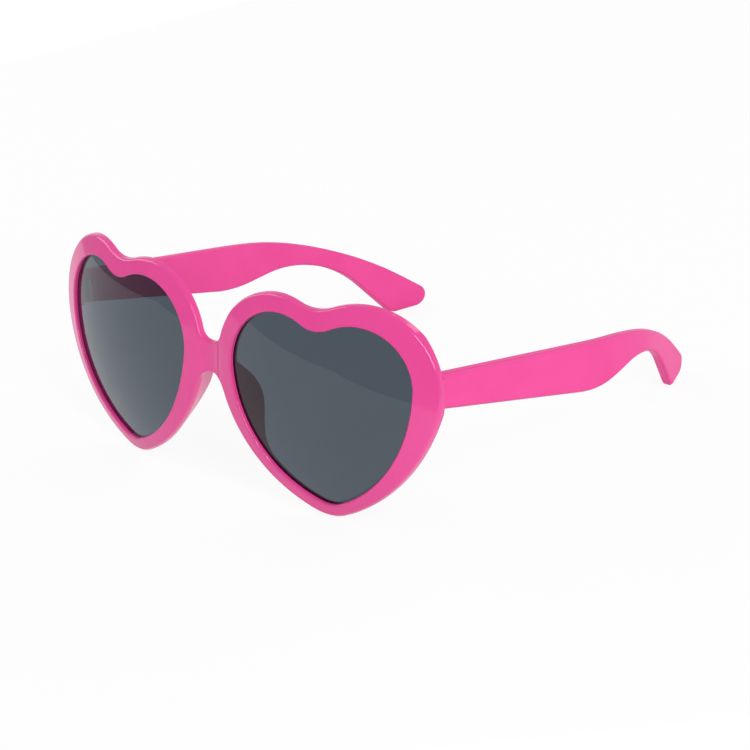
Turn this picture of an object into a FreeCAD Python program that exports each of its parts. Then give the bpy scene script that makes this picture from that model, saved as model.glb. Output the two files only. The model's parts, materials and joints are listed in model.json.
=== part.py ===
# Heart shaped sunglasses: a moulded front, two domed lenses and two temples that fold on screwed hinges.
# Millimetres. +Z is up, +X is the wearer's left and the lenses look along -Y.
# The pieces of the wearer's left side are drawn, and the right side mirrors them.
import FreeCAD, Part
import collections
import math
import os
import Sketcher

doc = FreeCAD.newDocument("heart_sunglasses")
sheet = doc.addObject("Spreadsheet::Sheet", "Sizes")

# Driving dimensions. Heights are above the table, and depths run back from the foremost point of the domes.
SIZES = {
    # Heart shaped opening of one lens: two lobes, a tip and the arcs that join them
    "opening_inner_x": "26.0",
    "opening_inner_z": "39.8",
    "opening_inner_radius": "16.8",
    "opening_outer_x": "49.6",
    "opening_outer_z": "40.6",
    "opening_outer_radius": "15.8",
    "opening_tip_x": "38.7",
    "opening_tip_radius": "7.7",
    "opening_cleft_radius": "10.2",
    "opening_outer_side_radius": "40.2",
    "opening_inner_side_radius": "41.1",
    # Rim round the opening: how far each of its arcs grows and moves
    "rim_inner_growth": "4.8",
    "rim_inner_shift": "1.4",
    "rim_outer_growth": "6.3",
    "rim_outer_shift": "0.6",
    "rim_outer_drop": "0.7",
    "rim_tip_growth": "3.5",
    "rim_tip_shift": "0.6",
    "rim_tip_drop": "0.5",
    "rim_cleft_radius": "14.9",
    "rim_outer_side_growth": "10.5",
    "rim_inner_side_growth": "11.0",
    "rim_front_bevel": "0.8",
    "rim_back_bevel": "1.3",
    "opening_front_bevel": "0.6",
    # Bridge between the hearts, hollowed in front by a cylinder that leans back with the dome
    "bridge_top_radius": "4.0",
    "nose_arch_radius": "5.2",
    "nose_arch_z": "29.0",
    "bridge_z": "38.5",
    "bridge_tilt": "4.0",
    "bridge_scoop_radius": "9.0",
    "bridge_scoop_depth": "2.7",
    "bridge_reach": "30.0",
    # Domes that the front is bent to, one for each lens
    "dome_x": "20.8",
    "dome_z": "32.1",
    "dome_radius": "101.7",
    "rim_thickness": "3.3",
    "front_depth": "30.0",
    # Lens and the groove that holds it
    "lens_recess": "1.25",
    "lens_thickness": "1.2",
    "lens_face_gap": "0.05",
    "lens_edge_gap": "0.1",
    "groove_depth": "1.0",
    # Moulded nose pads
    "pad_top_depth": "2.0",
    "pad_top_z": "44.0",
    "pad_peak_depth": "12.85",
    "pad_peak_z": "30.0",
    "pad_peak_radius": "9.0",
    "pad_waist_depth": "6.3",
    "pad_waist_z": "17.2",
    "pad_waist_radius": "10.0",
    "pad_toe_depth": "5.0",
    "pad_toe_z": "5.0",
    "pad_thickness": "2.2",
    "pad_root_depth": "2.5",
    "pad_splay": "0.33",
    "pad_bevel": "0.6",
    "pad_reach": "30.0",
    # Lug behind the rim that carries the hinge
    "lug_length": "1.85",
    "lug_width": "5.7",
    "lug_bottom_z": "35.9",
    "lug_top_z": "45.4",
    # Temple seen from the side
    "butt_gap": "0.4",
    "temple_top_z": "45.8",
    "temple_bottom_z": "36.1",
    "tip_end_depth": "155.9",
    "tip_end_z": "1.3",
    "tip_end_radius": "3.7",
    "heel_to_tip": "18.3",
    "heel_radius": "3.0",
    "ear_top_to_tip": "38.5",
    "ear_top_z": "29.9",
    "ear_top_radius": "122.0",
    "notch_to_tip": "41.3",
    "notch_z": "25.9",
    "notch_radius": "34.9",
    "shoulder_to_tip": "74.8",
    "shoulder_z": "20.9",
    "shoulder_radius": "43.0",
    # Temple seen from above: its inset from the rim, its bend behind the ear and how far it opens past square
    "temple_inset": "0.6",
    "temple_thickness": "3.4",
    "ear_bend_to_tip": "80.1",
    "ear_bend_radius": "107.0",
    "ear_bend_angle": "22.7",
    "temple_splay": "1.7",
    "temple_outer_bevel": "0.8",
    "temple_inner_bevel": "0.6",
    # Hinge: barrels on a screw, a leaf in the lug and a leaf on the temple
    "hinge_inset": "1.5",
    "hinge_setback": "1.6",
    "hinge_z": "40.0",
    "barrel_radius": "1.2",
    "barrel_height": "1.9",
    "barrel_gap": "0.1",
    "middle_half_height": "1.2",
    "leaf_thickness": "1.0",
    "leaf_inset": "0.1",
    "shoe_depth": "2.0",
    "shoe_thickness": "1.2",
    "plate_start": "2.6",
    "plate_length": "8.0",
    "plate_anchor": "1.0",
    "anchor_margin": "0.8",
    # Hinge screw
    "screw_radius": "0.6",
    "screw_play": "0.03",
    "head_radius": "1.0",
    "head_height": "0.5",
    "slot_half_width": "0.15",
    "slot_depth": "0.25",
    # Distance from the foremost point of the domes to the middle of the whole depth, where the origin is
    "front_setback": "75.26",
    # How far cutting shapes reach past what they cut
    "overrun": "5.0",
}


def write_cell(row, alias, content):
    sheet.set(f"A{row}", alias)
    sheet.set(f"B{row}", content)
    sheet.setAlias(f"B{row}", alias)


for row, (alias, size) in enumerate(SIZES.items(), start=1):
    write_cell(row, alias, size)

Vector = FreeCAD.Vector
SIDEWAYS = Vector(1, 0, 0)
BACKWARDS = Vector(0, 1, 0)
UPWARDS = Vector(0, 0, 1)
# Planes of the sketches: the front view, the side view and the view from above
FRONT_VIEW = FreeCAD.Rotation(SIDEWAYS, UPWARDS, -BACKWARDS, "ZXY")
SIDE_VIEW = FreeCAD.Rotation(BACKWARDS, UPWARDS, SIDEWAYS, "ZXY")
TOP_VIEW = FreeCAD.Rotation()

# Sums of sizes that several pieces share
TIP_Z = "opening_tip_radius + rim_tip_growth + rim_tip_drop"
RIM_TOP_Z = "opening_outer_z - rim_outer_drop + opening_outer_radius + rim_outer_growth"
RIM_SIDE_X = "opening_outer_x + rim_outer_shift + opening_outer_radius + rim_outer_growth"
TEMPLE_OUTSIDE_X = RIM_SIDE_X + " - temple_inset"
TEMPLE_INSIDE_X = TEMPLE_OUTSIDE_X + " - temple_thickness"
HINGE_X = TEMPLE_INSIDE_X + " - hinge_inset"
LUG_BACK = "rim_side_depth + lug_length"
HINGE_DEPTH = LUG_BACK + " + hinge_setback"
TEMPLE_START = LUG_BACK + " + butt_gap"
EAR_BEND_DEPTH = "tip_end_depth - ear_bend_to_tip"
TEMPLE_REACH = "tip_end_depth + overrun"
HINGE_TOP_Z = "hinge_z + middle_half_height + barrel_gap + barrel_height"
HINGE_BOTTOM_Z = "hinge_z - middle_half_height - barrel_gap - barrel_height"
GROOVE_FRONT = "lens_recess - lens_face_gap"
GROOVE_BACK = "lens_recess + lens_thickness + lens_face_gap"

# Depth that the dome has reached at the rim's side, worked out in the sheet
SIDE_DISTANCE = f"({RIM_SIDE_X} - dome_x)"
SIDE_HEIGHT = "(opening_outer_z - rim_outer_drop - dome_z)"
write_cell(len(SIZES) + 1, "rim_side_depth",
           f"=dome_radius - sqrt(dome_radius ^ 2 - {SIDE_DISTANCE} ^ 2 - {SIDE_HEIGHT} ^ 2)")
doc.recompute()


def number(total):
    """Value of a sum of sizes, written as names with + and - between them."""
    value = 0.0
    sign = 1
    for word in total.split():
        if word in "+-":
            sign = 1 if word == "+" else -1
        else:
            value += sign * float(sheet.get(word))
    return value


def formula(total):
    """The same sum as an expression on the sheet's cells."""
    return " ".join(word if word in "+-" else "Sizes." + word for word in total.split())


def plus(*sums):
    """Several sums as one; an empty one is zero."""
    return " ".join(total if total[0] in "+-" else "+ " + total for total in sums if total)


def minus(total):
    """A sum with every sign turned round, to be added to another."""
    swapped = {"+": "-", "-": "+"}
    return " ".join(swapped.get(word, word) for word in plus(total).split())


def bind(item, prop, total):
    item.setExpression(prop, formula(total))


# Outlines of tangent arcs
Arc = collections.namedtuple("Arc", "centre radius turn place reach")


def known_arc(place, reach, turn=1):
    """An arc whose centre and radius are sums of sizes; turn is 1 for an outward curve, -1 for a hollow."""
    centre = Vector(*[number(part) if part else 0.0 for part in place], 0)
    return Arc(centre, number(reach), turn, place, reach)


def meeting_point(first, first_reach, second, second_reach, side):
    """The point at given distances from two points, on the left (1) or right (-1) of the line between them."""
    line = second - first
    along = (first_reach**2 - second_reach**2 + line.Length**2) / (2 * line.Length)
    away = math.sqrt(first_reach**2 - along**2)
    ahead = line / line.Length
    return first + ahead * along + Vector(-ahead.y, ahead.x, 0) * (side * away)


def joining_arc(before, after, reach, turn, side):
    """An arc of given radius that touches two others, round them or between them."""
    radius = number(reach)
    distances = [radius - arc.radius if arc.turn == turn else radius + arc.radius for arc in (before, after)]
    centre = meeting_point(before.centre, distances[0], after.centre, distances[1], side)
    return Arc(centre, radius, turn, None, reach)


def touching_point(first, second):
    if first.turn != second.turn:
        ahead = second.centre - first.centre
        return first.centre + ahead / ahead.Length * first.radius
    small, large = sorted((first, second), key=lambda arc: arc.radius)
    ahead = small.centre - large.centre
    return small.centre + ahead / ahead.Length * small.radius


def angle_from(centre, point):
    return math.atan2(point.y - centre.y, point.x - centre.x)


def constrain(sketch, kind, *values, total=None):
    index = sketch.addConstraint(Sketcher.Constraint(kind, *values))
    if total:
        bind(sketch, f"Constraints[{index}]", total)


# Numbers that a sketch gives to the points of its curves and to its axes
START, END, MIDDLE = range(1, 4)
_, UPRIGHT_AXIS = range(-1, -3, -1)


def draw_arcs(sketch, arcs, starts_on_axis=False):
    """Draws a loop of tangent arcs, or a chain that starts and ends on the upright axis and is closed by it."""
    count = len(arcs)
    points = [touching_point(arcs[i - 1], arcs[i]) for i in range(count)]
    first = points[0]
    last = points[0]
    if starts_on_axis:
        first = arcs[0].centre - Vector(0, arcs[0].radius, 0)
        last = arcs[-1].centre + Vector(0, arcs[-1].radius, 0)
    ends = []
    for i, arc in enumerate(arcs):
        begin = first if i == 0 else points[i]
        finish = last if i == count - 1 else points[i + 1]
        angles = [angle_from(arc.centre, begin), angle_from(arc.centre, finish)]
        if arc.turn < 0:
            angles.reverse()
        circle = Part.Circle(arc.centre, UPWARDS, arc.radius)
        sketch.addGeometry(Part.ArcOfCircle(circle, *angles))
        ends.append((START, END) if arc.turn > 0 else (END, START))
    if starts_on_axis:
        sketch.addGeometry(Part.LineSegment(last, first))
        constrain(sketch, "Coincident", count - 1, ends[-1][1], count, START)
        constrain(sketch, "Coincident", 0, ends[0][0], count, END)
        constrain(sketch, "PointOnObject", count, START, UPRIGHT_AXIS)
        constrain(sketch, "PointOnObject", count, END, UPRIGHT_AXIS)
    for i in range(1 if starts_on_axis else 0, count):
        before = (i - 1) % count
        constrain(sketch, "Tangent", before, ends[before][1], i, ends[i][0])
    for i, arc in enumerate(arcs):
        constrain(sketch, "Radius", i, arc.radius, total=arc.reach)
        across, height = arc.place or (None, None)
        if across:
            constrain(sketch, "DistanceX", i, MIDDLE, arc.centre.x, total=across)
        elif starts_on_axis and i in (0, count - 1):
            constrain(sketch, "PointOnObject", i, MIDDLE, UPRIGHT_AXIS)
        if height:
            constrain(sketch, "DistanceY", i, MIDDLE, arc.centre.y, total=height)


def new_sketch(name, view, depth=""):
    """A sketch in one of the three views; depth moves a front view back by a sum of sizes."""
    sketch = doc.addObject("Sketcher::SketchObject", name)
    sketch.Placement = FreeCAD.Placement(Vector(), view)
    bind(sketch, "Placement.Base.y", plus(depth, "- front_setback"))
    return sketch


def heart_arcs(growth=""):
    """Arcs of the heart shaped opening, grown outwards by a sum of sizes."""
    inner = known_arc(("opening_inner_x", "opening_inner_z"), plus("opening_inner_radius", growth))
    outer = known_arc(("opening_outer_x", "opening_outer_z"), plus("opening_outer_radius", growth))
    tip = known_arc(("opening_tip_x", TIP_Z), plus("opening_tip_radius", growth))
    cleft = joining_arc(outer, inner, plus("opening_cleft_radius", minus(growth)), -1, -1)
    outer_side = joining_arc(tip, outer, plus("opening_outer_side_radius", growth), 1, 1)
    inner_side = joining_arc(inner, tip, plus("opening_inner_side_radius", growth), 1, 1)
    return [tip, outer_side, outer, cleft, inner, inner_side]


def rim_arcs():
    """Arcs of half the front's outline, from the top of the bridge round one heart to the nose arch."""
    inner = known_arc(
        ("opening_inner_x - rim_inner_shift", "opening_inner_z"),
        "opening_inner_radius + rim_inner_growth", -1)
    outer = known_arc(
        ("opening_outer_x + rim_outer_shift", "opening_outer_z - rim_outer_drop"),
        "opening_outer_radius + rim_outer_growth", -1)
    tip = known_arc(
        ("opening_tip_x - rim_tip_shift", "opening_tip_radius + rim_tip_growth"),
        "opening_tip_radius + rim_tip_growth", -1)
    arch = known_arc((None, "nose_arch_z"), "nose_arch_radius")
    cleft = joining_arc(inner, outer, "rim_cleft_radius", 1, 1)
    outer_side = joining_arc(outer, tip, "opening_outer_side_radius + rim_outer_side_growth", -1, -1)
    inner_side = joining_arc(tip, arch, "opening_inner_side_radius + rim_inner_side_growth", -1, -1)
    rise = math.sqrt((inner.radius + number("bridge_top_radius"))**2 - inner.centre.x**2)
    bridge_centre = Vector(0, inner.centre.y + rise, 0)
    bridge_top = Arc(bridge_centre, number("bridge_top_radius"), 1, None, "bridge_top_radius")
    return [bridge_top, inner, cleft, outer, outer_side, tip, inner_side, arch]


# Solids
def prism(name, sketch, direction, length):
    """A sketch pushed along a direction by a sum of sizes."""
    body = doc.addObject("Part::Extrusion", name)
    body.Base = sketch
    body.DirMode = "Custom"
    body.Dir = direction
    body.Solid = True
    bind(body, "LengthFwd", length)
    return body


def box(name, across, depth, height):
    """A box between two sums of sizes in each direction."""
    body = doc.addObject("Part::Box", name)
    for side, axis, (low, high) in zip(("Length", "Width", "Height"), "xyz", (across, depth, height)):
        bind(body, side, plus(high, minus(low)))
        place = plus(low, "- front_setback") if axis == "y" else low
        if place:
            bind(body, "Placement.Base." + axis, place)
    return body


def upright_cylinder(name, across, depth, height, radius):
    body = doc.addObject("Part::Cylinder", name)
    bind(body, "Radius", radius)
    bind(body, "Height", plus(height[1], minus(height[0])))
    bind(body, "Placement.Base.x", across)
    bind(body, "Placement.Base.y", plus(depth, "- front_setback"))
    bind(body, "Placement.Base.z", height[0])
    return body


def dome(name, inset):
    """The ball whose surface lies a sum of sizes under the front of the left dome."""
    ball = doc.addObject("Part::Sphere", name)
    bind(ball, "Radius", plus("dome_radius", minus(inset)))
    bind(ball, "Placement.Base.x", "dome_x")
    bind(ball, "Placement.Base.y", "dome_radius - front_setback")
    bind(ball, "Placement.Base.z", "dome_z")
    return ball


def cut(name, base, tool):
    body = doc.addObject("Part::Cut", name)
    body.Base = base
    body.Tool = tool
    return body


def common(name, *shapes):
    body = doc.addObject("Part::MultiCommon", name)
    body.Shapes = list(shapes)
    return body


def fused(name, *shapes):
    body = doc.addObject("Part::MultiFuse", name)
    body.Shapes = list(shapes)
    body.Refine = True
    return body


def mirrored(name, source):
    """The same piece on the wearer's right."""
    body = doc.addObject("Part::Mirroring", name)
    body.Source = source
    body.Normal = SIDEWAYS
    return body


def bevelled(name, base, bevels):
    """Bevels edges: each bevel is a size and a test that an edge and its two faces pass."""
    doc.recompute()
    body = doc.addObject("Part::Chamfer", name)
    body.Base = base
    picked = []
    for size, wanted in bevels:
        for index, edge in enumerate(base.Shape.Edges, start=1):
            faces = base.Shape.ancestorsOfType(edge, Part.Face)
            if len(faces) == 2 and wanted(edge, *faces):
                picked.append((index, number(size), number(size)))
    body.Edges = picked
    doc.recompute()
    return body


def halfway(edge):
    return edge.valueAt((edge.FirstParameter + edge.LastParameter) / 2)


def lean(face, point, direction):
    """How far a face leans towards a direction at a point: 1 is square to it and 0 is along it."""
    return face.normalAt(*face.Surface.parameter(point)).dot(direction)


WALL_LEAN_SHARE = 0.2
FACE_LEAN_SHARE = 0.5


def between_wall_and(direction):
    """A test for edges between a wall and a face that looks in a direction, where the wall runs along it."""
    def wanted(edge, first, second):
        leans = sorted((lean(face, halfway(edge), direction) for face in (first, second)), key=abs)
        return abs(leans[0]) < WALL_LEAN_SHARE and leans[1] > FACE_LEAN_SHARE
    return wanted


def on_surface_of(solid, test):
    """The same test, only for edges that lie on the surface of a solid."""
    def wanted(edge, first, second):
        gap = solid.Shape.Shells[0].distToShape(Part.Vertex(halfway(edge)))[0]
        return gap < Part.Precision.approximation() and test(edge, first, second)
    return wanted


def off_mirror_plane(test):
    """The same test, only for edges that leave the middle of the front alone."""
    def wanted(edge, first, second):
        return halfway(edge).x > Part.Precision.approximation() and test(edge, first, second)
    return wanted


# Front: the left half is modelled on one dome and mirrored
def half_sheet():
    """A skin of even thickness on the dome."""
    block = box("half_block", ("", plus(RIM_SIDE_X, "overrun")), ("- overrun", "front_depth"),
                ("- overrun", plus(RIM_TOP_Z, "overrun")))
    skin = common("half_dome", block, dome("front_ball", ""))
    return cut("half_sheet", skin, dome("back_ball", "rim_thickness"))


def bridge_scoop():
    """A cylinder that leans back with the dome, so that it hollows the bridge evenly all the way up."""
    scoop = doc.addObject("Part::Cylinder", "bridge_scoop")
    bind(scoop, "Radius", "bridge_scoop_radius")
    bind(scoop, "Height", "bridge_reach + bridge_reach")
    middle = Vector(0, number("bridge_scoop_depth - bridge_scoop_radius - front_setback"), number("bridge_z"))
    tilt = FreeCAD.Rotation(SIDEWAYS, -number("bridge_tilt"))
    scoop.Placement = FreeCAD.Placement(middle - tilt.multVec(UPWARDS) * number("bridge_reach"), tilt)
    return scoop


def rim_prism():
    outline = new_sketch("rim_outline", FRONT_VIEW)
    draw_arcs(outline, rim_arcs(), starts_on_axis=True)
    return prism("rim_prism", outline, BACKWARDS, "front_depth")


def heart_prism(name, growth):
    """The heart shaped opening, grown outwards by a sum of sizes and pushed right through the front."""
    outline = new_sketch(name + "_outline", FRONT_VIEW)
    draw_arcs(outline, heart_arcs(growth))
    return prism(name, outline, BACKWARDS, "front_depth")


def heart_shell(name, growth, front, back):
    """The part of a heart prism that lies between two depths under the dome's front."""
    ahead = common(name + "_ahead", heart_prism(name + "_prism", growth), dome(name + "_front", front))
    return cut(name, ahead, dome(name + "_back", back))


def nose_pad():
    """A wing moulded to the back of the rim along the nose, splayed outwards and fullest beside the bridge."""
    side = rim_arcs()[-2]
    ring = new_sketch("pad_ring", FRONT_VIEW, "pad_root_depth")
    for index, reach in enumerate((side.reach, side.reach + " - pad_thickness")):
        ring.addGeometry(Part.Circle(side.centre, UPWARDS, number(reach)))
        constrain(ring, "Radius", index, number(reach), total=reach)
        constrain(ring, "DistanceX", index, MIDDLE, side.centre.x)
        constrain(ring, "DistanceY", index, MIDDLE, side.centre.y)
    wall = prism("pad_wall", ring, Vector(number("pad_splay"), 1, 0), "pad_reach")
    outline = new_sketch("pad_side_outline", SIDE_VIEW)
    draw_corners(outline, [
        ("", "pad_toe_z", ""),
        ("pad_toe_depth", "pad_toe_z", ""),
        ("pad_waist_depth", "pad_waist_z", "pad_waist_radius"),
        ("pad_peak_depth", "pad_peak_z", "pad_peak_radius"),
        ("pad_top_depth", "pad_top_z", ""),
        ("", "pad_top_z", ""),
    ])
    wing = prism("pad_side", outline, SIDEWAYS, "pad_reach")
    blank = common("pad_blank", wall, wing, dome("pad_front", GROOVE_BACK))
    return bevelled("nose_pad", blank, [("pad_bevel", on_surface_of(wing, between_wall_and(-SIDEWAYS)))])


def hinge_slot():
    """Slot in the lug for the shoe of the front hinge leaf."""
    return box("hinge_slot", SHOE_X, (plus(LUG_BACK, "- shoe_depth"), plus(LUG_BACK, "overrun")), HINGE_HEIGHT)


def front_frame():
    heart = rim_prism()
    rim = bevelled("rim", common("rim_blank", half_sheet(), heart), [
        ("rim_front_bevel", off_mirror_plane(between_wall_and(-BACKWARDS))),
        ("rim_back_bevel", off_mirror_plane(between_wall_and(BACKWARDS))),
    ])
    opening = heart_prism("opening", "")
    hollowed = cut("hollowed_rim", rim, bridge_scoop())
    pierced = bevelled("pierced_rim", cut("sharp_pierced_rim", hollowed, opening), [
        ("opening_front_bevel", on_surface_of(opening, between_wall_and(-BACKWARDS))),
    ])
    grooved = cut("grooved_rim", pierced, heart_shell("lens_groove", "groove_depth", GROOVE_FRONT, GROOVE_BACK))
    lug_block = box("lug_block", (plus(RIM_SIDE_X, "- lug_width"), plus(RIM_SIDE_X, "overrun")),
                    ("", LUG_BACK), ("lug_bottom_z", "lug_top_z"))
    lug = common("lug", lug_block, heart, dome("lug_front", GROOVE_BACK))
    butt_space = box("butt_space", (plus(RIM_SIDE_X, "- lug_width"), plus(RIM_SIDE_X, "overrun")),
                     (LUG_BACK, "front_depth"), ("", RIM_TOP_Z))
    moulded = cut("moulded_half", fused("joined_half", grooved, lug, nose_pad()), butt_space)
    half = cut("left_half", moulded, hinge_slot())
    return fused("front_frame", half, mirrored("right_half", half))


def left_lens():
    return heart_shell("left_lens", "groove_depth - lens_edge_gap",
                       "lens_recess", "lens_recess + lens_thickness")


# Temples
def draw_corners(sketch, corners):
    """Draws a closed outline from corners: across, height and rounding. An empty across lies on the upright
    axis, an empty rounding leaves a sharp corner, and an empty height lets the rounding rest on the level axis."""
    count = len(corners)
    points = [Vector(number(across), number(height), 0) for across, height, rounding in corners]

    def fillet(i):
        radius = number(corners[i][2])
        to_last = (points[i - 1] - points[i]).normalize()
        to_next = (points[(i + 1) % count] - points[i]).normalize()
        half = to_last.getAngle(to_next) / 2
        reach = radius / math.tan(half)
        centre = points[i] + (to_last + to_next).normalize() * (radius / math.sin(half))
        return points[i] + to_last * reach, points[i] + to_next * reach, centre

    for i, (across, height, rounding) in enumerate(corners):
        while not height and abs(fillet(i)[2].y - number(rounding)) > Part.Precision.confusion():
            points[i].y += number(rounding) - fillet(i)[2].y
    ends = [fillet(i) if corners[i][2] else (points[i], points[i], None) for i in range(count)]
    for i in range(count):
        sketch.addGeometry(Part.LineSegment(ends[i][1], ends[(i + 1) % count][0]))
    for i, (across, height, rounding) in enumerate(corners):
        last = (i - 1) % count
        if rounding:
            enter, leave, centre = ends[i]
            angles = [angle_from(centre, enter), angle_from(centre, leave)]
            left_turn = (points[i] - points[last]).cross(points[(i + 1) % count] - points[i]).z > 0
            sides = (START, END) if left_turn else (END, START)
            circle = Part.Circle(centre, UPWARDS, number(rounding))
            arc = sketch.addGeometry(Part.ArcOfCircle(circle, *(angles if left_turn else angles[::-1])))
            corner = sketch.addGeometry(Part.Point(points[i]), True)
            constrain(sketch, "Tangent", last, END, arc, sides[0])
            constrain(sketch, "Tangent", arc, sides[1], i, START)
            constrain(sketch, "PointOnObject", corner, START, last)
            constrain(sketch, "PointOnObject", corner, START, i)
            constrain(sketch, "Radius", arc, number(rounding), total=rounding)
        else:
            corner = i
            constrain(sketch, "Coincident", last, END, i, START)
        if across:
            constrain(sketch, "DistanceX", corner, START, points[i].x, total=across)
        else:
            constrain(sketch, "PointOnObject", corner, START, UPRIGHT_AXIS)
        if height:
            constrain(sketch, "DistanceY", corner, START, points[i].y, total=height)
        else:
            constrain(sketch, "DistanceY", arc, MIDDLE, number(rounding), total=rounding)


def temple_side():
    """The temple seen from the side: an arm that deepens to a shoulder, an ear bend and a paddle tip."""
    outline = new_sketch("temple_side_outline", SIDE_VIEW)
    draw_corners(outline, [
        (TEMPLE_START, "temple_bottom_z", ""),
        ("tip_end_depth - shoulder_to_tip", "shoulder_z", "shoulder_radius"),
        ("tip_end_depth - notch_to_tip", "notch_z", "notch_radius"),
        ("tip_end_depth - heel_to_tip", "", "heel_radius"),
        ("tip_end_depth", "tip_end_z", "tip_end_radius"),
        ("tip_end_depth - ear_top_to_tip", "ear_top_z", "ear_top_radius"),
        (TEMPLE_START, "temple_top_z", ""),
    ])
    return prism("temple_side", outline, SIDEWAYS, plus(RIM_SIDE_X, "overrun"))


def temple_plan():
    """The temple seen from above: straight from the hinge, then bent inwards behind the ear."""
    outline = new_sketch("temple_plan_outline", TOP_VIEW)
    outside, start = number(TEMPLE_OUTSIDE_X), number(TEMPLE_START)
    bend, radius = number(EAR_BEND_DEPTH), number("ear_bend_radius")
    thickness, angle = number("temple_thickness"), math.radians(number("ear_bend_angle"))
    centre = Vector(outside - radius, bend, 0)
    out = Vector(math.cos(angle), math.sin(angle), 0)
    ahead = Vector(-out.y, out.x, 0)
    root = Vector(outside, start, 0)
    bent = centre + out * radius
    end = bent + ahead * ((number(TEMPLE_REACH) - bent.y) / ahead.y)
    inwards = Vector(-thickness, 0, 0)
    outline.addGeometry([
        Part.LineSegment(root, Vector(outside, bend, 0)),
        Part.ArcOfCircle(Part.Circle(centre, UPWARDS, radius), 0, angle),
        Part.LineSegment(bent, end),
        Part.LineSegment(end, end - out * thickness),
        Part.LineSegment(end - out * thickness, bent - out * thickness),
        Part.ArcOfCircle(Part.Circle(centre, UPWARDS, radius - thickness), 0, angle),
        Part.LineSegment(Vector(outside, bend, 0) + inwards, root + inwards),
        Part.LineSegment(root + inwards, root),
    ])
    outer_arm, outer_bend, outer_tip, tip_end, inner_tip, inner_bend, inner_arm, butt = range(8)
    for first, its_end, second, other_end in (
            (outer_arm, END, outer_bend, START), (outer_bend, END, outer_tip, START),
            (inner_tip, END, inner_bend, END), (inner_bend, START, inner_arm, START)):
        constrain(outline, "Tangent", first, its_end, second, other_end)
    for first, second in ((outer_tip, tip_end), (tip_end, inner_tip), (inner_arm, butt), (butt, outer_arm)):
        constrain(outline, "Coincident", first, END, second, START)
    constrain(outline, "Coincident", outer_bend, MIDDLE, inner_bend, MIDDLE)
    constrain(outline, "Perpendicular", outer_tip, tip_end)
    constrain(outline, "Parallel", outer_tip, inner_tip)
    constrain(outline, "Vertical", outer_arm)
    constrain(outline, "Vertical", inner_arm)
    constrain(outline, "Horizontal", butt)
    constrain(outline, "DistanceX", outer_arm, START, outside, total=TEMPLE_OUTSIDE_X)
    constrain(outline, "DistanceY", outer_arm, START, start, total=TEMPLE_START)
    constrain(outline, "DistanceY", outer_bend, MIDDLE, bend, total=EAR_BEND_DEPTH)
    constrain(outline, "Radius", outer_bend, radius, total="ear_bend_radius")
    constrain(outline, "Radius", inner_bend, radius - thickness, total="ear_bend_radius - temple_thickness")
    constrain(outline, "Angle", outer_bend, angle, total="ear_bend_angle")
    constrain(outline, "DistanceY", outer_tip, END, end.y, total=TEMPLE_REACH)
    return prism("temple_plan", outline, UPWARDS, "temple_top_z + overrun")


def behind_butt(test):
    """The same test, only for edges that leave the butt end of the temple alone."""
    def wanted(edge, first, second):
        start = number(TEMPLE_START) - number("front_setback")
        return halfway(edge).y - start > Part.Precision.approximation() and test(edge, first, second)
    return wanted


def splayed(piece):
    """Opens a piece of the temple past square, about the hinge pin."""
    pin = Vector(number(HINGE_X), number(plus(HINGE_DEPTH, "- front_setback")), 0)
    piece.Placement = FreeCAD.Placement(Vector(), FreeCAD.Rotation(UPWARDS, -number("temple_splay")), pin)
    return piece


def left_temple():
    blank = common("temple_blank", temple_side(), temple_plan())
    arm = bevelled("temple_arm", blank, [
        ("temple_outer_bevel", behind_butt(between_wall_and(SIDEWAYS))),
        ("temple_inner_bevel", behind_butt(between_wall_and(-SIDEWAYS))),
    ])
    return splayed(cut("left_temple", arm, box("anchor_pocket", *ANCHOR)))


# Hinges
SHOE_X = (plus(HINGE_X, "barrel_radius - leaf_inset - leaf_thickness"), plus(HINGE_X, "barrel_radius - leaf_inset"))
HINGE_HEIGHT = (HINGE_BOTTOM_Z, HINGE_TOP_Z)
PLATE_X = (plus(TEMPLE_INSIDE_X, "- leaf_thickness"), TEMPLE_INSIDE_X)
PLATE_START = plus(HINGE_DEPTH, "plate_start")
PLATE_END = plus(PLATE_START, "plate_length")
ANCHOR = ((TEMPLE_INSIDE_X, plus(TEMPLE_INSIDE_X, "plate_anchor")),
          (plus(PLATE_START, "anchor_margin"), plus(PLATE_END, "- anchor_margin")),
          (plus(HINGE_BOTTOM_Z, "anchor_margin"), plus(HINGE_TOP_Z, "- anchor_margin")))
MIDDLE_BARREL = ("hinge_z - middle_half_height", "hinge_z + middle_half_height")
UPPER_BARREL = (plus(MIDDLE_BARREL[1], "barrel_gap"), HINGE_TOP_Z)
LOWER_BARREL = (HINGE_BOTTOM_Z, plus(MIDDLE_BARREL[0], "- barrel_gap"))


def bored(name, *pieces):
    """A hinge leaf with the hole for the screw through its barrels."""
    bore = upright_cylinder(name + "_bore", HINGE_X, HINGE_DEPTH,
                            (plus(HINGE_BOTTOM_Z, "- overrun"), plus(HINGE_TOP_Z, "overrun")),
                            "screw_radius + screw_play")
    return cut(name, fused(name + "_blank", *pieces), bore)


def left_front_hinge():
    shoe_front = plus(LUG_BACK, "- shoe_depth")
    pieces = [box("shoe", SHOE_X, (shoe_front, plus(shoe_front, "shoe_thickness")), HINGE_HEIGHT)]
    for level, height in (("upper", UPPER_BARREL), ("lower", LOWER_BARREL)):
        pieces.append(upright_cylinder(level + "_barrel", HINGE_X, HINGE_DEPTH, height, "barrel_radius"))
        pieces.append(box(level + "_tab", SHOE_X, (shoe_front, HINGE_DEPTH), height))
    return bored("left_front_hinge", *pieces)


def left_temple_hinge():
    return splayed(bored(
        "left_temple_hinge",
        upright_cylinder("middle_barrel", HINGE_X, HINGE_DEPTH, MIDDLE_BARREL, "barrel_radius"),
        box("neck", PLATE_X, (HINGE_DEPTH, PLATE_START), MIDDLE_BARREL),
        box("plate", PLATE_X, (PLATE_START, PLATE_END), HINGE_HEIGHT),
        box("anchor", *ANCHOR)))


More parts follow.
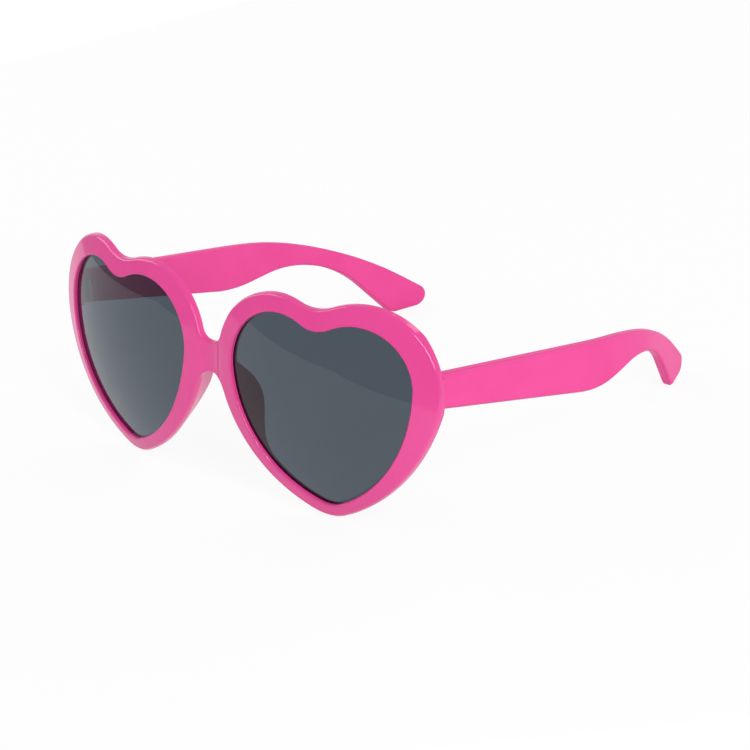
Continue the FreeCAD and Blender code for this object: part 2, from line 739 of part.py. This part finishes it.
def body_plane(body, role):
    return next(plane for plane in body.Origin.OriginFeatures if plane.Role == role)


def left_hinge_screw():
    body = doc.addObject("PartDesign::Body", "left_hinge_screw")
    bind(body, "Placement.Base.x", HINGE_X)
    bind(body, "Placement.Base.y", plus(HINGE_DEPTH, "- front_setback"))
    profile = body.newObject("Sketcher::SketchObject", "screw_profile")
    profile.AttachmentSupport = (body_plane(body, "XZ_Plane"), "")
    profile.MapMode = "FlatFace"
    head_top = plus(HINGE_TOP_Z, "head_height")
    draw_corners(profile, [
        ("", HINGE_BOTTOM_Z, ""), ("screw_radius", HINGE_BOTTOM_Z, ""), ("screw_radius", HINGE_TOP_Z, ""),
        ("head_radius", HINGE_TOP_Z, ""), ("head_radius", head_top, ""), ("", head_top, "")])
    turned = body.newObject("PartDesign::Revolution", "screw_turned")
    turned.Profile = profile
    turned.ReferenceAxis = (profile, ["V_Axis"])
    doc.recompute()
    driver = body.newObject("Sketcher::SketchObject", "driver_slot")
    driver.AttachmentSupport = (body_plane(body, "XY_Plane"), "")
    driver.MapMode = "FlatFace"
    bind(driver, "AttachmentOffset.Base.z", head_top)
    draw_corners(driver, [
        ("- head_radius", "- slot_half_width", ""), ("head_radius", "- slot_half_width", ""),
        ("head_radius", "slot_half_width", ""), ("- head_radius", "slot_half_width", "")])
    slot = body.newObject("PartDesign::Pocket", "screw_slot")
    slot.Profile = driver
    bind(slot, "Length", "slot_depth")
    return body


pieces = [front_frame()]
for piece in (left_lens(), left_temple(), left_front_hinge(), left_temple_hinge(), left_hinge_screw()):
    pieces += [piece, mirrored(piece.Label.replace("left", "right"), piece)]
doc.recompute()

faults = [item.Label for item in doc.Objects if "Invalid" in item.State or "Error" in item.State]
faults += [piece.Label for piece in pieces if piece.Shape.isNull() or not piece.Shape.isValid()]
if faults:
    raise RuntimeError("failed: " + ", ".join(faults))
os.makedirs("parts", exist_ok=True)
for piece in pieces:
    print(piece.Label, len(piece.Shape.Solids), round(piece.Shape.Volume))
    piece.Shape.exportStep("parts/" + piece.Label + ".step")
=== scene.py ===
import json
import math

import bmesh
import bpy
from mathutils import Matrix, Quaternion, Vector


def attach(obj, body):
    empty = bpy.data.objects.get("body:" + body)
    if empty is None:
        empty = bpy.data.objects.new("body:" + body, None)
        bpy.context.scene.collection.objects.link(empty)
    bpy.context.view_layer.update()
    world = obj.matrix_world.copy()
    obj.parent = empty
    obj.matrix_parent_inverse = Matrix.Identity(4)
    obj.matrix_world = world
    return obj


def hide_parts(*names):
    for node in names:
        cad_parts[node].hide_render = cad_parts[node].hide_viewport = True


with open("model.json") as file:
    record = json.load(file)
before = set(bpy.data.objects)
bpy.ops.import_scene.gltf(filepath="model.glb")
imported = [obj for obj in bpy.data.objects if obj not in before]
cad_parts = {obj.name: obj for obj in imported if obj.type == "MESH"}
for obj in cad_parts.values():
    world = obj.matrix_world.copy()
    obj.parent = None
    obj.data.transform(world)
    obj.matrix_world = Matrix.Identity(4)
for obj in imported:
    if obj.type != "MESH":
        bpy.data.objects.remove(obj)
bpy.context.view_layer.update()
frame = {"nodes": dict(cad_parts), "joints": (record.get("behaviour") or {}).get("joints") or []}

nodes = frame["nodes"]
bpy.ops.object.select_all(action="DESELECT")


# Node helpers
node_spacing = 220
white = (1.0, 1.0, 1.0, 1.0)
# The first, second and result sockets of a mix node, which share their names
mix_sockets = {"RGBA": (6, 7, 2), "FLOAT": (2, 3, 0)}


def new_node(tree, kind, **values):
    """A node of a kind, to the right of the others, with its named inputs filled in."""
    node = tree.nodes.new(kind)
    node.location.x = node_spacing * len(tree.nodes)
    for name, value in values.items():
        node.inputs[name.replace("_", " ")].default_value = value
    return node


def feed(tree, value, socket):
    """Fills a socket with a number, or links another socket to it."""
    if isinstance(value, (int, float)):
        socket.default_value = value
    else:
        tree.links.new(value, socket)


def sum_of(tree, operation, first, second):
    """A sum of two values, each a socket or a number."""
    node = new_node(tree, "ShaderNodeMath")
    node.operation = operation
    feed(tree, first, node.inputs[0])
    feed(tree, second, node.inputs[1])
    return node.outputs["Value"]


def spread_of(tree, value, start, end, at_start=0.0, at_end=1.0):
    """A value between a start and an end, spread over another range and held at its ends."""
    node = new_node(tree, "ShaderNodeMapRange", From_Min=start, From_Max=end)
    tree.links.new(value, node.inputs["Value"])
    feed(tree, at_start, node.inputs["To Min"])
    feed(tree, at_end, node.inputs["To Max"])
    return node.outputs["Result"]


def blend_of(tree, kind, share, first, second):
    """A blend of two sockets, colours or values, by a share."""
    first_socket, second_socket, result = mix_sockets[kind]
    node = new_node(tree, "ShaderNodeMix")
    node.data_type = kind
    tree.links.new(share, node.inputs["Factor"])
    tree.links.new(first, node.inputs[first_socket])
    tree.links.new(second, node.inputs[second_socket])
    return node.outputs[result]


def noise_on(tree, where, **values):
    """A noise over some coordinates."""
    texture = new_node(tree, "ShaderNodeTexNoise", **values)
    tree.links.new(where, texture.inputs["Vector"])
    return texture.outputs["Fac"]


# Effects that the finishes share
look_inputs = (("Colour", "NodeSocketColor", white),
               ("Shade", "NodeSocketColor", white),
               ("Gloss", "NodeSocketFloat", 0.15),
               ("Haze", "NodeSocketFloat", 0.3))
look_outputs = (("Colour", "NodeSocketColor"),
                ("Roughness", "NodeSocketFloat"),
                ("Height", "NodeSocketFloat"))
tint_range = 0.35, 0.65
dulling_range = 0.3, 0.7
brush_stretch = (9000.0, 9000.0, 700.0)
hinge_line_y = frame["joints"][0]["pos_m"][1]
barrel_reach = 0.00196
lacquer_edge = 0.0003


def new_effect(name, inputs, outputs):
    """An empty effect with its named sockets, its two ends and the Object coordinates."""
    group = bpy.data.node_groups.new(name, "ShaderNodeTree")
    for title, kind, value in inputs:
        group.interface.new_socket(title, in_out="INPUT", socket_type=kind).default_value = value
    for title, kind in outputs:
        group.interface.new_socket(title, in_out="OUTPUT", socket_type=kind)
    given = new_node(group, "NodeGroupInput")
    made = new_node(group, "NodeGroupOutput")
    where = new_node(group, "ShaderNodeTexCoord")
    return group, given, made, where.outputs["Object"]


def put_out(group, given, made, tint, dulling, relief):
    """Puts out an effect's colour, roughness and height, from one texture for each."""
    tint = spread_of(group, tint, *tint_range)
    colour = blend_of(group, "RGBA", tint, given.outputs["Colour"], given.outputs["Shade"])
    roughness = spread_of(group, dulling, *dulling_range, given.outputs["Gloss"], given.outputs["Haze"])
    group.links.new(colour, made.inputs["Colour"])
    group.links.new(roughness, made.inputs["Roughness"])
    group.links.new(relief, made.inputs["Height"])


def moulded_effect():
    """Slow swirls of colour, hazy patches and the faint ripple of a polished mould."""
    group, given, made, where = new_effect("moulded", look_inputs, look_outputs)
    swirl = noise_on(group, where, Scale=42.0, Detail=3.0, Roughness=0.5, Distortion=0.6)
    patch = noise_on(group, where, Scale=90.0, Detail=3.0, Roughness=0.55)
    ripple = noise_on(group, where, Scale=110.0, Detail=1.0, Roughness=0.4)
    put_out(group, given, made, swirl, patch, ripple)
    return group


def brushed_effect():
    """Fine lines drawn along the height of the metal, over slow patches of tarnish."""
    group, given, made, where = new_effect("brushed", look_inputs, look_outputs)
    drawn = new_node(group, "ShaderNodeMapping", Scale=brush_stretch)
    group.links.new(where, drawn.inputs["Vector"])
    lines = noise_on(group, drawn.outputs["Vector"], Scale=1.0, Detail=2.0, Roughness=0.6)
    tarnish = noise_on(group, where, Scale=420.0, Detail=4.0, Roughness=0.6)
    put_out(group, given, made, tarnish, lines, lines)
    return group


def lacquer_effect():
    """A mask that is bare at the barrel and lacquered along the plate of a temple leaf."""
    start = (("Start", "NodeSocketFloat", hinge_line_y + barrel_reach),)
    masks = (("Lacquer", "NodeSocketFloat"), ("Bare", "NodeSocketFloat"))
    group, given, made, where = new_effect("lacquer_line", start, masks)
    split = new_node(group, "ShaderNodeSeparateXYZ")
    group.links.new(where, split.inputs["Vector"])
    past = sum_of(group, "SUBTRACT", split.outputs["Y"], given.outputs["Start"])
    lacquer = spread_of(group, past, 0.0, lacquer_edge)
    group.links.new(lacquer, made.inputs["Lacquer"])
    group.links.new(sum_of(group, "SUBTRACT", 1.0, lacquer), made.inputs["Bare"])
    return group


# Finishes
bump_distance = 0.001


def look(colour, shade, gloss, haze):
    """The values that an effect takes: two colours to drift between and two levels of roughness."""
    return {"Colour": (*colour, 1.0), "Shade": (*shade, 1.0), "Gloss": gloss, "Haze": haze}


def surface_on(tree, effect, values):
    """An effect placed in a material with its own values."""
    surface = new_node(tree, "ShaderNodeGroup")
    surface.node_tree = effect
    for name, value in values.items():
        surface.inputs[name].default_value = value
    return surface


def finish(name, effect, values, relief, **shader_values):
    """A material on an effect, with its own look, depth of relief and shader values."""
    material = bpy.data.materials.new(name)
    material.use_nodes = True
    tree = material.node_tree
    shader = tree.nodes["Principled BSDF"]
    for socket, value in shader_values.items():
        shader.inputs[socket.replace("_", " ")].default_value = value
    surface = surface_on(tree, effect, values)
    surface.name = "surface"
    bump = new_node(tree, "ShaderNodeBump", Strength=relief, Distance=bump_distance)
    tree.links.new(surface.outputs["Colour"], shader.inputs["Base Color"])
    tree.links.new(surface.outputs["Roughness"], shader.inputs["Roughness"])
    tree.links.new(surface.outputs["Height"], bump.inputs["Height"])
    tree.links.new(bump.outputs["Normal"], shader.inputs["Normal"])
    return material


def lacquered_leaf():
    """Steel with its plate lacquered in the colour of the temple that it is set in."""
    material = finish("lacquered_leaf", brushed, leaf_look, leaf_relief)
    tree = material.node_tree
    shader = tree.nodes["Principled BSDF"]
    bare = tree.nodes["surface"]
    coat = surface_on(tree, moulded, temple_look)
    line = new_node(tree, "ShaderNodeGroup")
    line.node_tree = lacquer_effect()
    lacquer = line.outputs["Lacquer"]
    for kind, output, socket in (("RGBA", "Colour", "Base Color"), ("FLOAT", "Roughness", "Roughness")):
        blend = blend_of(tree, kind, lacquer, bare.outputs[output], coat.outputs[output])
        tree.links.new(blend, shader.inputs[socket])
    tree.links.new(line.outputs["Bare"], shader.inputs["Metallic"])
    return material


moulded = moulded_effect()
brushed = brushed_effect()
leaf_relief = 0.03
front_look = look(colour=(0.78, 0.061, 0.298), shade=(0.75, 0.054, 0.280), gloss=0.06, haze=0.10)
temple_look = look(colour=(0.83, 0.086, 0.327), shade=(0.80, 0.077, 0.308), gloss=0.30, haze=0.36)
lens_look = look(colour=(0.066, 0.086, 0.109), shade=(0.064, 0.083, 0.105), gloss=0.012, haze=0.02)
leaf_look = look(colour=(0.62, 0.62, 0.64), shade=(0.52, 0.52, 0.55), gloss=0.26, haze=0.42)
screw_look = look(colour=(0.58, 0.58, 0.60), shade=(0.46, 0.46, 0.49), gloss=0.18, haze=0.32)
front_pink = finish("polished_pink", moulded, front_look, relief=0.010, IOR=1.5)
temple_pink = finish("satin_pink", moulded, temple_look, relief=0.015, IOR=1.5, Specular_IOR_Level=0.03)
smoke = finish("smoke_lens", moulded, lens_look, relief=0.0, IOR=1.40, Transmission_Weight=1.0)
steel = finish("stamped_steel", brushed, leaf_look, leaf_relief, Metallic=1.0)
leaf = lacquered_leaf()
screw_steel = finish("turned_steel", brushed, screw_look, relief=0.02, Metallic=1.0)


# Pieces
merge_distance = 0.000002
crease_angle = math.radians(20)
round_angle = math.radians(66)
bevel_width = 0.0022
least_bevel_lean = 0.2
most_bevel_lean = 0.9
across_front = Vector((0, 1, 0))
across_temple = Vector((1, 0, 0))


def merged_copy(node):
    """A copy of a solid with its loose facets joined, standing where the solid stands."""
    piece = bpy.data.objects.new(node + "_polished", nodes[node].data.copy())
    bpy.context.scene.collection.objects.link(piece)
    bpy.context.view_layer.objects.active = piece
    piece.select_set(True)
    bpy.ops.object.mode_set(mode="EDIT")
    bpy.ops.mesh.select_all(action="SELECT")
    bpy.ops.mesh.remove_doubles(threshold=merge_distance)
    bpy.ops.object.mode_set(mode="OBJECT")
    bpy.ops.object.shade_smooth()
    piece.select_set(False)
    return piece


def smooth_patches(shape):
    """Numbers the faces by the smooth patch that they belong to, and gives the faces of each patch."""
    number, patches = {}, []
    for seed in shape.faces:
        if seed in number:
            continue
        number[seed] = len(patches)
        patch, waiting = [], [seed]
        while waiting:
            face = waiting.pop()
            patch.append(face)
            for edge in face.edges:
                if edge.calc_face_angle(math.pi) >= crease_angle:
                    continue
                for neighbour in edge.link_faces:
                    if neighbour not in number:
                        number[neighbour] = len(patches)
                        waiting.append(neighbour)
        patches.append(patch)
    return number, patches


def is_bevel(patch, number, across):
    """Whether a patch is a narrow strip that leans between a broad face and an edge face of a piece."""
    area = sum(face.calc_area() for face in patch)
    border = sum(edge.calc_length() for face in patch for edge in face.edges
                 if any(number[other] != number[face] for other in edge.link_faces))
    lean = sum(abs(face.normal.dot(across)) * face.calc_area() for face in patch) / area
    return border > 0 and 2 * area / border < bevel_width and least_bevel_lean < lean < most_bevel_lean


def round_bevels(piece, across):
    """Shades each bevel as a round edge, by giving its corners the normals of the faces on either side."""
    shape = bmesh.new()
    shape.from_mesh(piece.data)
    number, patches = smooth_patches(shape)
    bevel = [is_bevel(patch, number, across) for patch in patches]
    leaning = {}
    for face in shape.faces:
        for corner in face.loops:
            key = corner.vert, number[face]
            leaning[key] = leaning.get(key, Vector()) + face.normal * corner.calc_angle()
    normals = []
    for face in shape.faces:
        for corner in face.loops:
            own = leaning[corner.vert, number[face]].normalized()
            beside = {number[other] for other in corner.vert.link_faces if not bevel[number[other]]}
            sides = [leaning[corner.vert, patch].normalized() for patch in beside]
            sides = [side for side in sides if side.angle(own, math.pi) < round_angle]
            if bevel[number[face]] and sides:
                own = sum(sides, Vector()).normalized()
            normals.append(own)
    shape.free()
    piece.data.normals_split_custom_set(normals)


def polish(node, body, material, across):
    """Puts a finished copy in a solid's place."""
    piece = merged_copy(node)
    round_bevels(piece, across)
    piece.data.materials.clear()
    piece.data.materials.append(material)
    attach(piece, body)
    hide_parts(node)


def soft_shading_group():
    """A modifier's nodes that shade every facet smooth and leave the mesh itself alone."""
    group = bpy.data.node_groups.new("soft_shading", "GeometryNodeTree")
    for way in ("INPUT", "OUTPUT"):
        group.interface.new_socket("Geometry", in_out=way, socket_type="NodeSocketGeometry")
    given = new_node(group, "NodeGroupInput")
    soft = new_node(group, "GeometryNodeSetShadeSmooth")
    made = new_node(group, "NodeGroupOutput")
    group.links.new(given.outputs["Geometry"], soft.inputs["Geometry"])
    group.links.new(soft.outputs["Geometry"], made.inputs["Geometry"])
    return group


def smooth_facets(node):
    """Joins the facets of a solid and shades each of its curved faces as one, by modifiers alone."""
    piece = nodes[node]
    piece.modifiers.new("soft_shading", "NODES").node_group = soft_shading
    piece.modifiers.new("weld", "WELD").merge_threshold = merge_distance
    piece.modifiers.new("sharp_edges", "EDGE_SPLIT").split_angle = crease_angle


def paint(node, material):
    """Gives a solid its finish."""
    slots = nodes[node].data.materials
    slots.clear()
    slots.append(material)


soft_shading = soft_shading_group()
polish("front_frame", "front", front_pink, across_front)
for side in ("left", "right"):
    polish(side + "_temple", side + "_arm", temple_pink, across_temple)
    for kind, material in (("_lens", smoke), ("_front_hinge", steel),
                           ("_temple_hinge", leaf), ("_hinge_screw", screw_steel)):
        paint(side + kind, material)
        smooth_facets(side + kind)


# Stage
floor_size = 4.0
floor_drop = 0.0002
paper_tone = 0.85
paper_roughness = 0.9
white_share = 0.9
# A point on each edge of the sheet of floor, and the way out of the sheet there
near_edge = (0.090, -0.195, 0.0), (0.747, -0.665, 0.0)
front_edge = (-0.033, -0.333, 0.0), (0.360, -0.933, 0.0)
left_edge = (-0.450, -0.240, 0.0), (-1.0, 0.0, 0.0)
# Levels of the surround, and how far up and back the directions run over which its backdrop fades
fill_at_horizon = 0.72
fill_overhead = 0.42
dim_mirror_level = 0.42
backdrop_top = 0.5
backdrop_depth = 0.4
camera_place = Vector((0.4216, -0.46396, 0.2570))
camera_aim = Vector((0.0631, -0.07526, 0.0490))
camera_roll = math.radians(-2.39)
focal_length = 108.0
sensor_width = 36.0


def turn_to(place, aim):
    """The turn of a lamp or camera at a place that looks at a point."""
    return (Vector(aim) - Vector(place)).to_track_quat("-Z", "Y")


def put_in_scene(name, data, place, turn):
    """A lamp or camera in its place."""
    holder = bpy.data.objects.new(name, data)
    bpy.context.scene.collection.objects.link(holder)
    holder.location = place
    holder.rotation_euler = turn.to_euler()
    return holder


def ray_kinds(tree):
    """Two masks: rays from the camera, also through the lenses, and mirrored rays."""
    path = new_node(tree, "ShaderNodeLightPath")
    straight = sum_of(tree, "MAXIMUM", path.outputs["Is Camera Ray"], path.outputs["Is Transmission Ray"])
    return straight, path.outputs["Is Glossy Ray"]


def paper_floor():
    """Pale paper that shows white straight, mirrored and through the lenses, and keeps the shadow."""
    material = bpy.data.materials.new("paper_floor")
    material.use_nodes = True
    tree = material.node_tree
    shader = tree.nodes["Principled BSDF"]
    shader.inputs["Base Color"].default_value = (paper_tone, paper_tone, paper_tone, 1.0)
    shader.inputs["Roughness"].default_value = paper_roughness
    glow = new_node(tree, "ShaderNodeEmission", Color=white, Strength=1.0)
    seen = sum_of(tree, "MAXIMUM", *ray_kinds(tree))
    blend = new_node(tree, "ShaderNodeMixShader")
    tree.links.new(sum_of(tree, "MULTIPLY", seen, white_share), blend.inputs["Fac"])
    tree.links.new(shader.outputs["BSDF"], blend.inputs[1])
    tree.links.new(glow.outputs["Emission"], blend.inputs[2])
    tree.links.new(blend.outputs["Shader"], tree.nodes["Material Output"].inputs["Surface"])
    return material


def sheet_of_floor():
    """A sheet of paper under the glasses that ends in front of them, where the lenses mirror its edge."""
    bpy.ops.mesh.primitive_plane_add(size=floor_size, location=(0, 0, -floor_drop))
    floor = bpy.context.object
    floor.name = "floor"
    bpy.ops.object.mode_set(mode="EDIT")
    for point, outward in (near_edge, front_edge, left_edge):
        bpy.ops.mesh.select_all(action="SELECT")
        bpy.ops.mesh.bisect(plane_co=point, plane_no=outward, clear_outer=True)
    bpy.ops.object.mode_set(mode="OBJECT")
    floor.data.materials.append(paper_floor())


def surround():
    """A plain room, white to the camera and through the lenses. Mirror images show it white low down behind
    the glasses, where the backdrop stands, and dim in front of them and overhead."""
    world = bpy.data.worlds.new("surround")
    bpy.context.scene.world = world
    world.use_nodes = True
    tree = world.node_tree
    light = tree.nodes["Background"]
    light.inputs["Color"].default_value = white
    where = new_node(tree, "ShaderNodeTexCoord")
    split = new_node(tree, "ShaderNodeSeparateXYZ")
    tree.links.new(where.outputs["Generated"], split.inputs["Vector"])
    up = split.outputs["Z"]
    back = split.outputs["Y"]
    fill = spread_of(tree, up, 0.0, 1.0, fill_at_horizon, fill_overhead)
    low = spread_of(tree, up, 0.0, backdrop_top, 1.0, 0.0)
    behind = spread_of(tree, back, 0.0, backdrop_depth)
    backdrop = sum_of(tree, "MULTIPLY", low, behind)
    mirror_image = spread_of(tree, backdrop, 0.0, 1.0, dim_mirror_level, 1.0)
    straight, mirrored = ray_kinds(tree)
    level = blend_of(tree, "FLOAT", mirrored, fill, mirror_image)
    tree.links.new(sum_of(tree, "MAXIMUM", straight, level), light.inputs["Strength"])


def softbox(name, place, aim, width, height, power):
    """An upright lamp at a place, turned to a point."""
    lamp = bpy.data.lights.new(name, "AREA")
    lamp.shape = "RECTANGLE"
    lamp.size = width
    lamp.size_y = height
    lamp.energy = power
    put_in_scene(name, lamp, place, turn_to(place, aim))


def photo_camera():
    """The camera at the photograph's place, turned a little about its own line of sight."""
    camera = bpy.data.cameras.new("photo_camera")
    camera.lens = focal_length
    camera.sensor_width = sensor_width
    turn = turn_to(camera_place, camera_aim) @ Quaternion((0, 0, 1), camera_roll)
    bpy.context.scene.camera = put_in_scene("photo_camera", camera, camera_place, turn)


sheet_of_floor()
surround()
softbox("left_box", place=(-0.9, -0.3, 0.7), aim=(-0.15, -0.05, 0.0), width=0.8, height=0.8, power=4.5)
softbox("back_box", place=(0.1, 1.1, 0.75), aim=(0, 0, 0.03), width=0.7, height=0.7, power=4.0)
softbox("key_box", place=(1.0, -0.50, 0.62), aim=(0, -0.03, 0.03), width=0.24, height=0.80, power=8.3)
photo_camera()
bpy.context.scene.view_settings.view_transform = "Standard"
